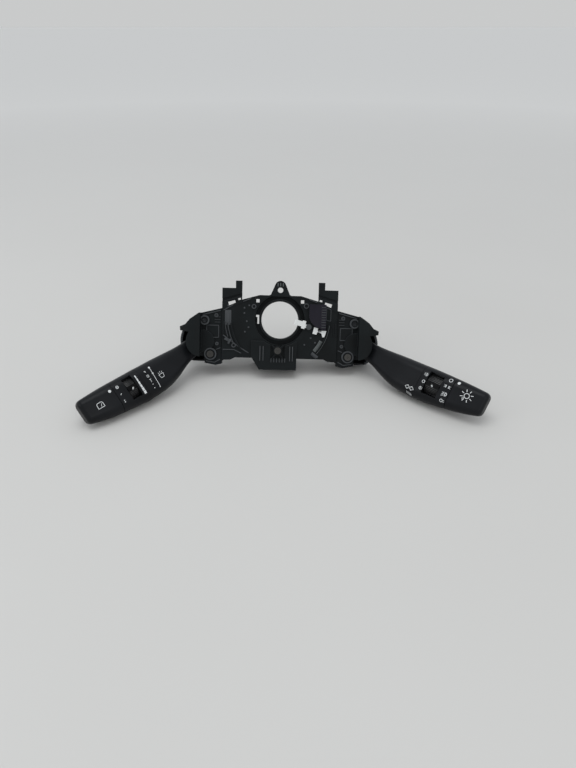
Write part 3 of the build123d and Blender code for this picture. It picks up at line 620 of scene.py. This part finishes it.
def ring_and_dashes():
    """Ring with two dashes beside it."""
    ring(115.4, -13.2, 1.5, 0.5)
    for rise in (-0.7, 0.7):
        bar(117.2, -13.2 + rise, 118.3, -13.2 + rise, 0.45)


def rayed_lamp(x, y):
    """Round lamp with eight rays and a small ring against it."""
    ring(x, y, 2.6, 0.6)
    for step in range(8):
        ray(x, y, 45 * step + 22.5, 3.6, 5.9, 0.6)
    ring(x - 2.3, y - 3.1, 0.95, 0.35)


# ---------------------------------------------------------------- operators

class STALK_OT_finishes(bpy.types.Operator):
    """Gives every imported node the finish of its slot."""
    bl_idname = "stalk.finishes"
    bl_label = "Finishes"

    def execute(self, context):
        made = all_materials()
        slots = {part["node"]: part["material_slot"] for part in frame["record"]["subparts"]}
        for name, node in frame["nodes"].items():
            node.data.materials.clear()
            node.data.materials.append(made[slots[name]])
        return {"FINISHED"}


class STALK_OT_wiper_marks(bpy.types.Operator):
    """Pictograms of the wiper lever."""
    bl_idname = "stalk.wiper_marks"
    bl_label = "Wiper lever marks"

    def execute(self, context):
        stem = blank("wiper_stem_marks")
        rear_window(-67.4, -8.2)
        speed_line()
        speed_signs()
        print_on(stem, "wiper", "lever_stem", "lever")

        head = blank("wiper_head_marks")
        growing_wedge()
        knob_signs()
        print_on(head, "wiper", "lever_head", "lever")

        knob = blank("wiper_knob_marks")
        disc(-119.4, 3.7, 1.35)
        windscreen(-133.0, -2.8)
        print_on(knob, "wiper", "end_knob", "knob")
        return {"FINISHED"}


class STALK_OT_light_marks(bpy.types.Operator):
    """Pictograms of the turn signal and light lever."""
    bl_idname = "stalk.light_marks"
    bl_label = "Light lever marks"

    def execute(self, context):
        stem = blank("light_stem_marks")
        turn_arrow(80.2, -1)
        turn_arrow(84.0, 1)
        hatching()
        print_on(stem, "light", "lever_stem", "lever")

        head = blank("light_head_marks")
        beam_lamp(2.8, 1)
        beam_lamp(-11.0, -1)
        ring(92.4, -4.2, 1.55, 0.5)
        ring(115.2, 7.2, 1.75, 0.45)
        parking_lamp(114.0, -1)
        parking_lamp(116.4, 1)
        head_lamp()
        ring_and_dashes()
        print_on(head, "light", "lever_head", "lever")

        knob = blank("light_knob_marks")
        disc(122.9, 8.0, 1.35)
        rayed_lamp(134.5, 0.4)
        print_on(knob, "light", "end_knob", "knob")
        return {"FINISHED"}


class STALK_OT_wheel_dots(bpy.types.Operator):
    """White dot on the rib of each thumb wheel."""
    bl_idname = "stalk.wheel_dots"
    bl_label = "Thumb wheel dots"

    def execute(self, context):
        for lever in SIDES:
            dot = blank(f"{lever}_wheel_dot")
            disc(wheel_middle(lever).x / MM, DOT_HEIGHT, DOT_RADIUS)
            print_on(dot, lever, "thumb_wheel", "wheel", DOT_LIFT, DOT_THICKNESS)
        return {"FINISHED"}


def bracket_pads():
    """Raised pads, pips and clips, the foot's ribs and the ribs of the cancel cover."""
    pads = blank("bracket_pads")
    block(-52.4, 1.4, ON_BRACKET, 6.4, 15.0, 0.9)
    block(-52.4, 1.4, 0.5, 3.4, 11.0, 0.7)
    for x, y in ((-52.4, 13.6), (-36.0, 11.5), (-36.0, 6.2), (-31.2, 14.0), (-33.4, -2.0),
                 (-31.6, -8.0), (-35.2, -12.6), (36.4, -22.0), (31.8, -17.5), (25.6, -24.4)):
        block(x, y, ON_BRACKET, 1.6, 1.6, 1.0, 12)
    block(-53.6, -20.9, ON_BRACKET, 4.6, 2.2, 1.8, -28)
    block(-50.6, -22.6, ON_BRACKET, 2.0, 5.4, 2.8, -28)
    block(36.2, -34.6, ON_BRACKET, 7.6, 2.4, 3.4, -37)
    block(35.1, -36.0, ON_BRACKET, 6.8, 1.2, 1.8, -37)
    for x in (-8.0, -5.2, -2.4, 0.4, 3.2, 6.0):
        block(x, -40.8, ON_FOOT, 0.8, 4.2, 1.0)
    for x in (-19.4, -16.2, 10.8, 13.6):
        block(x, -34.0, ON_FOOT, 0.9, 15.0, 0.9)
    for step in range(9):
        block(44.1, -6.4 + 2.5 * step, ON_COVER, 4.2, 0.8, 0.4)
    mould_on(pads, 0.22)


def bracket_ribs():
    """Upright ribs: the frame beside the cover, two arcs left of the bore and the straight runs."""
    ribs = blank("bracket_ribs")
    path([(47.1, 1.0), (47.1, 13.2), (51.6, 11.8), (51.6, 0.2)], 0.7, closed=True)
    arc(0, 0, 52.6, 181, 208, 0.8, 14)
    arc(0, 0, 55.4, 183, 199, 0.7, 9)
    path([(-57.2, -16.4), (-40.6, -28.4), (-31.2, -34.0)], 1.0)
    path([(-57.4, -31.0), (-46.0, -31.0), (-38.6, -34.6)], 0.8)
    path([(29.0, 21.6), (37.6, 18.2)], 0.8)
    path([(-37.4, 17.8), (-29.4, 21.0)], 0.8)
    path([(-57.0, 8.6), (-47.6, 14.2)], 0.8)
    raised(ON_BRACKET, 1.0)
    mould_on(ribs, 0.18)


def bracket_rings():
    """Three small round bosses, open in their middles."""
    rings = blank("bracket_rings")
    boss(26.6, 14.8, ON_BRACKET, 2.7, 1.7, 1.5, 1.4)
    boss(-26.4, 13.0, ON_BRACKET, 2.4, 1.4, 1.3, 1.3)
    boss(-46.4, -26.6, ON_BRACKET, 2.3, 1.3, 1.6, 1.5)
    mould_on(rings, 0.15)


def seat_strip():
    """Toothed grey strip on the clock spring seat, with a thin pale line outside it that is a painted highlight on
    the seat's rim edge.
    """
    radius, top = 47.0, 1.1
    strip = blank("seat_strip")
    arc(0, 0, radius, -25.5, -41.0, 3.6, 14)
    # Pale rib along the rim at radius 50.6: a painted edge highlight.
    arc(0, 0, 50.6, -5, -41.5, 0.5, 18)
    raised(ON_BRACKET, top)
    for step in range(13):
        turn = -26.4 - 1.14 * step
        block(radius * cos(radians(turn)), radius * sin(radians(turn)), top - 0.1, 3.2, 0.42, 0.5, turn)
    mould_on(strip, 0.1, finish="strip_grey", angle=50, segments=1)


def pale_ribs():
    """Three pale ribs at the tip of the screw tab."""
    pale = blank("pale_ribs")
    for x in (-2.6, 0.0, 2.6):
        block(x, 35.3, ON_BRACKET + 0.1, 1.0, 3.4, 1.2)
    mould_on(pale, 0.12, finish="strip_grey", angle=50, segments=1)


class STALK_OT_bracket_detail(bpy.types.Operator):
    """Pads, ribs, rings and the grey strip on the face of the bracket."""
    bl_idname = "stalk.bracket_detail"
    bl_label = "Bracket detail"

    def execute(self, context):
        bracket_pads()
        bracket_ribs()
        bracket_rings()
        seat_strip()
        pale_ribs()
        return {"FINISHED"}


class STALK_OT_cancel_detail(bpy.types.Operator):
    """Cap over the pawl's pin and a grey pad on the link's neck."""
    bl_idname = "stalk.cancel_detail"
    bl_label = "Cancelling detail"

    def execute(self, context):
        x, y = on_column_plane("cancel_pawl_swing")
        cap = blank("pawl_cap")
        boss(x, y, ON_PAWL, 2.9, 0, 0.6, 0)
        mould_on(cap, 0.15, "cancel_pawl")

        pad = blank("link_pad")
        block(40.6, -10.4, ON_LINK, 3.6, 1.6, 0.25)
        mould_on(pad, 0.08, "cancel_link", "rod_grey")
        return {"FINISHED"}


def case_collars(lever, side):
    """Collars round a module's guide hole, its screw and two small bosses."""
    collars = blank(f"{lever}_case_collars")
    boss(side * 76.1, -1.9, ON_CASE, 4.9, 3.45, 3.7, 3.0)
    boss(side * 70.0, -36.0, ON_CASE, 6.2, 4.9, 3.4, 3.2)
    boss(side * 64.4, 3.2, ON_CASE, 2.0, 1.1, 2.2, 1.6)
    boss(side * 63.6, -25.4, ON_CASE, 1.8, 0.9, 1.6, 1.2)
    mould_on(collars, 0.2)


def case_ribs(lever, side):
    """Square frame and straight ribs on a module's front shell."""
    ribs = blank(f"{lever}_case_ribs")
    path([(side * 61.9, -6.9), (side * 74.1, -6.9), (side * 74.1, -19.1), (side * 61.9, -19.1)],
         0.7, closed=True)
    path([(side * 60.0, -29.6), (side * 64.6, -31.4)], 0.8)
    path([(side * 60.2, -41.4), (side * 66.0, -44.6), (side * 74.6, -43.2)], 0.9)
    path([(side * 60.0, 8.4), (side * 78.4, 3.4)], 0.9)
    for y in (-3.6, -1.0, 1.6):
        path([(side * 60.2, y), (side * 66.0, y)], 0.55)
    raised(ON_CASE, -0.9)
    mould_on(ribs, 0.16)


def throat_lip(lever, side):
    """Rounded lip in an arc round a lever's pivot, where the lever leaves its module."""
    x, y = on_column_plane(f"{lever}_tilt")
    radius, width, back, front = 22.9, 2.6, -12.3, -9.6
    lip = blank(f"{lever}_throat_lip")
    arc(x, y, radius, 90 - 60 * side, 90 - 150 * side, width, 18)
    raised(back, front)
    mould_on(lip, 0.5, angle=40, segments=3)


class STALK_OT_case_detail(bpy.types.Operator):
    """Collars, ribs and throat lips of both modules."""
    bl_idname = "stalk.case_detail"
    bl_label = "Module case detail"

    def execute(self, context):
        for lever, side in SIDES.items():
            case_collars(lever, side)
            case_ribs(lever, side)
            throat_lip(lever, side)
        return {"FINISHED"}


def wheel_rib(middle, length, turn):
    """One rib across a wheel's rim, turned about the wheel's axis by an angle in degrees."""
    out = (0, 0, WHEEL_RIB_RADIUS * MM)
    bpy.ops.mesh.primitive_cube_add(size=MM, location=out)
    bpy.ops.transform.resize(value=(length, WHEEL_RIB_WIDTH, WHEEL_RIB_HEIGHT), center_override=out)
    bpy.ops.transform.rotate(value=-radians(turn), orient_axis="X", center_override=(0, 0, 0))
    bpy.ops.transform.translate(value=(middle.x, WHEEL_SAG * MM, 0))


class STALK_OT_wheel_ribs(bpy.types.Operator):
    """Fine grip ribs round the rim of each thumb wheel."""
    bl_idname = "stalk.wheel_ribs"
    bl_label = "Thumb wheel ribs"

    def execute(self, context):
        for lever in SIDES:
            middle = wheel_middle(lever)
            ribs = blank(f"{lever}_wheel_ribs")
            for step in WHEEL_RIB_STEPS:
                wheel_rib(middle, WHEEL_RIB_LENGTH[lever], WHEEL_RIB_TURN * step)
            settle(ribs, lever_matrix(lever))
            soften(ribs, 0.2)
            dress(ribs, f"{lever}_wheel", "wheel_gloss")
        return {"FINISHED"}


def area_lamp(name, place, size, power, colour):
    """Round lamp that looks at the middle of the switch."""
    bpy.ops.object.light_add(type="AREA", location=place)
    lamp = bpy.context.object
    lamp.name = name
    lamp.data.shape = "DISK"
    lamp.data.size = size
    lamp.data.energy = power
    lamp.data.color = colour
    look = Vector(LAMP_AIM) - Vector(place)
    lamp.rotation_euler = look.to_track_quat("-Z", "Y").to_euler()


class STALK_OT_stage(bpy.types.Operator):
    """Pale floor, soft lamps and the camera."""
    bl_idname = "stalk.stage"
    bl_label = "Stage"

    def execute(self, context):
        sizes = context.scene.stage_sizes
        clear_selection()
        bpy.ops.mesh.primitive_plane_add(size=FLOOR_SIZE, location=(0, 0, sizes.bench))
        floor = bpy.context.object
        floor.name = "floor"
        material, nodes, links, shader = fresh_material("floor")
        place = nodes.new("ShaderNodeTexCoord").outputs["Object"]
        drift = noise(nodes, links, place, 3.0, 3.0)
        near = mixed(nodes, links, drift, (0.60, 0.59, 0.57), (0.63, 0.62, 0.60))
        reach = nodes.new("ShaderNodeVectorMath")
        reach.operation = "LENGTH"
        links.new(place, reach.inputs[0])
        far = ranged(nodes, links, reach.outputs["Value"], *FLOOR_FADE, 0.0, 1.0)
        links.new(mixed(nodes, links, far, near, (0.84, 0.83, 0.81)), shader.inputs["Base Color"])
        shader.inputs["Roughness"].default_value = 0.8
        floor.data.materials.append(material)

        area_lamp("overhead", (-0.2, -0.15, 1.35), 1.0, 5.5, (0.97, 0.99, 1.0))
        area_lamp("front_fill", (0.7, -1.3, 0.75), 0.9, 2.0, (1.0, 0.98, 0.96))
        area_lamp("side_fill", (-1.2, -0.6, 0.5), 0.7, 1.8, (0.95, 0.98, 1.0))

        world = bpy.data.worlds.new("studio")
        world.use_nodes = True
        sky = world.node_tree.nodes["Background"]
        sky.inputs["Strength"].default_value = 0.75
        seen = world.node_tree.nodes.new("ShaderNodeLightPath").outputs["Is Camera Ray"]
        links = world.node_tree.links
        links.new(mixed(world.node_tree.nodes, links, seen, (0.90, 0.93, 0.96), (0.78, 0.79, 0.79)),
                  sky.inputs["Color"])
        context.scene.world = world
        context.scene.view_settings.view_transform = "Standard"

        back = column_matrix().to_3x3() @ Vector((0, 0, sizes.camera_distance))
        bpy.ops.object.camera_add(location=back)
        camera = bpy.context.object
        camera.name = "camera"
        camera.rotation_euler = (radians(90) - sizes.camera_pitch, 0, -sizes.camera_turn)
        camera.data.sensor_fit = "VERTICAL"
        camera.data.sensor_height = SENSOR_HEIGHT
        camera.data.sensor_width = SENSOR_WIDTH
        camera.data.lens = sizes.lens
        camera.data.clip_start = 0.01
        context.scene.camera = camera
        return {"FINISHED"}


class STALK_PT_panel(bpy.types.Panel):
    """Lists the steps that dress the switch."""
    bl_idname = "STALK_PT_panel"
    bl_label = "Stalk switch"
    bl_space_type = "VIEW_3D"
    bl_region_type = "UI"
    bl_category = "Stalk switch"

    def draw(self, context):
        for owner in (context.scene.switch_colours, context.scene.stage_sizes):
            for name in owner.__annotations__:
                self.layout.prop(owner, name)
        for step in STEPS:
            self.layout.operator(step.bl_idname)


STEPS = (
    STALK_OT_stage,
    STALK_OT_finishes,
    STALK_OT_bracket_detail,
    STALK_OT_case_detail,
    STALK_OT_cancel_detail,
    STALK_OT_wheel_ribs,
    STALK_OT_wiper_marks,
    STALK_OT_light_marks,
    STALK_OT_wheel_dots,
)
CLASSES = (SwitchColours, StageSizes, *STEPS, STALK_PT_panel)


def register():
    for cls in CLASSES:
        bpy.utils.register_class(cls)
    bpy.types.Scene.switch_colours = bpy.props.PointerProperty(type=SwitchColours)
    bpy.types.Scene.stage_sizes = bpy.props.PointerProperty(type=StageSizes)


def unregister():
    del bpy.types.Scene.stage_sizes
    del bpy.types.Scene.switch_colours
    for cls in reversed(CLASSES):
        bpy.utils.unregister_class(cls)


def main():
    register()
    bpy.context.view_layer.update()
    bpy.ops.stalk.stage()
    bpy.ops.stalk.finishes()
    bpy.ops.stalk.bracket_detail()
    bpy.ops.stalk.case_detail()
    bpy.ops.stalk.cancel_detail()
    bpy.ops.stalk.wheel_ribs()
    bpy.ops.stalk.wiper_marks()
    bpy.ops.stalk.light_marks()
    bpy.ops.stalk.wheel_dots()
    clear_selection()


if __name__ == "__main__":
    main()
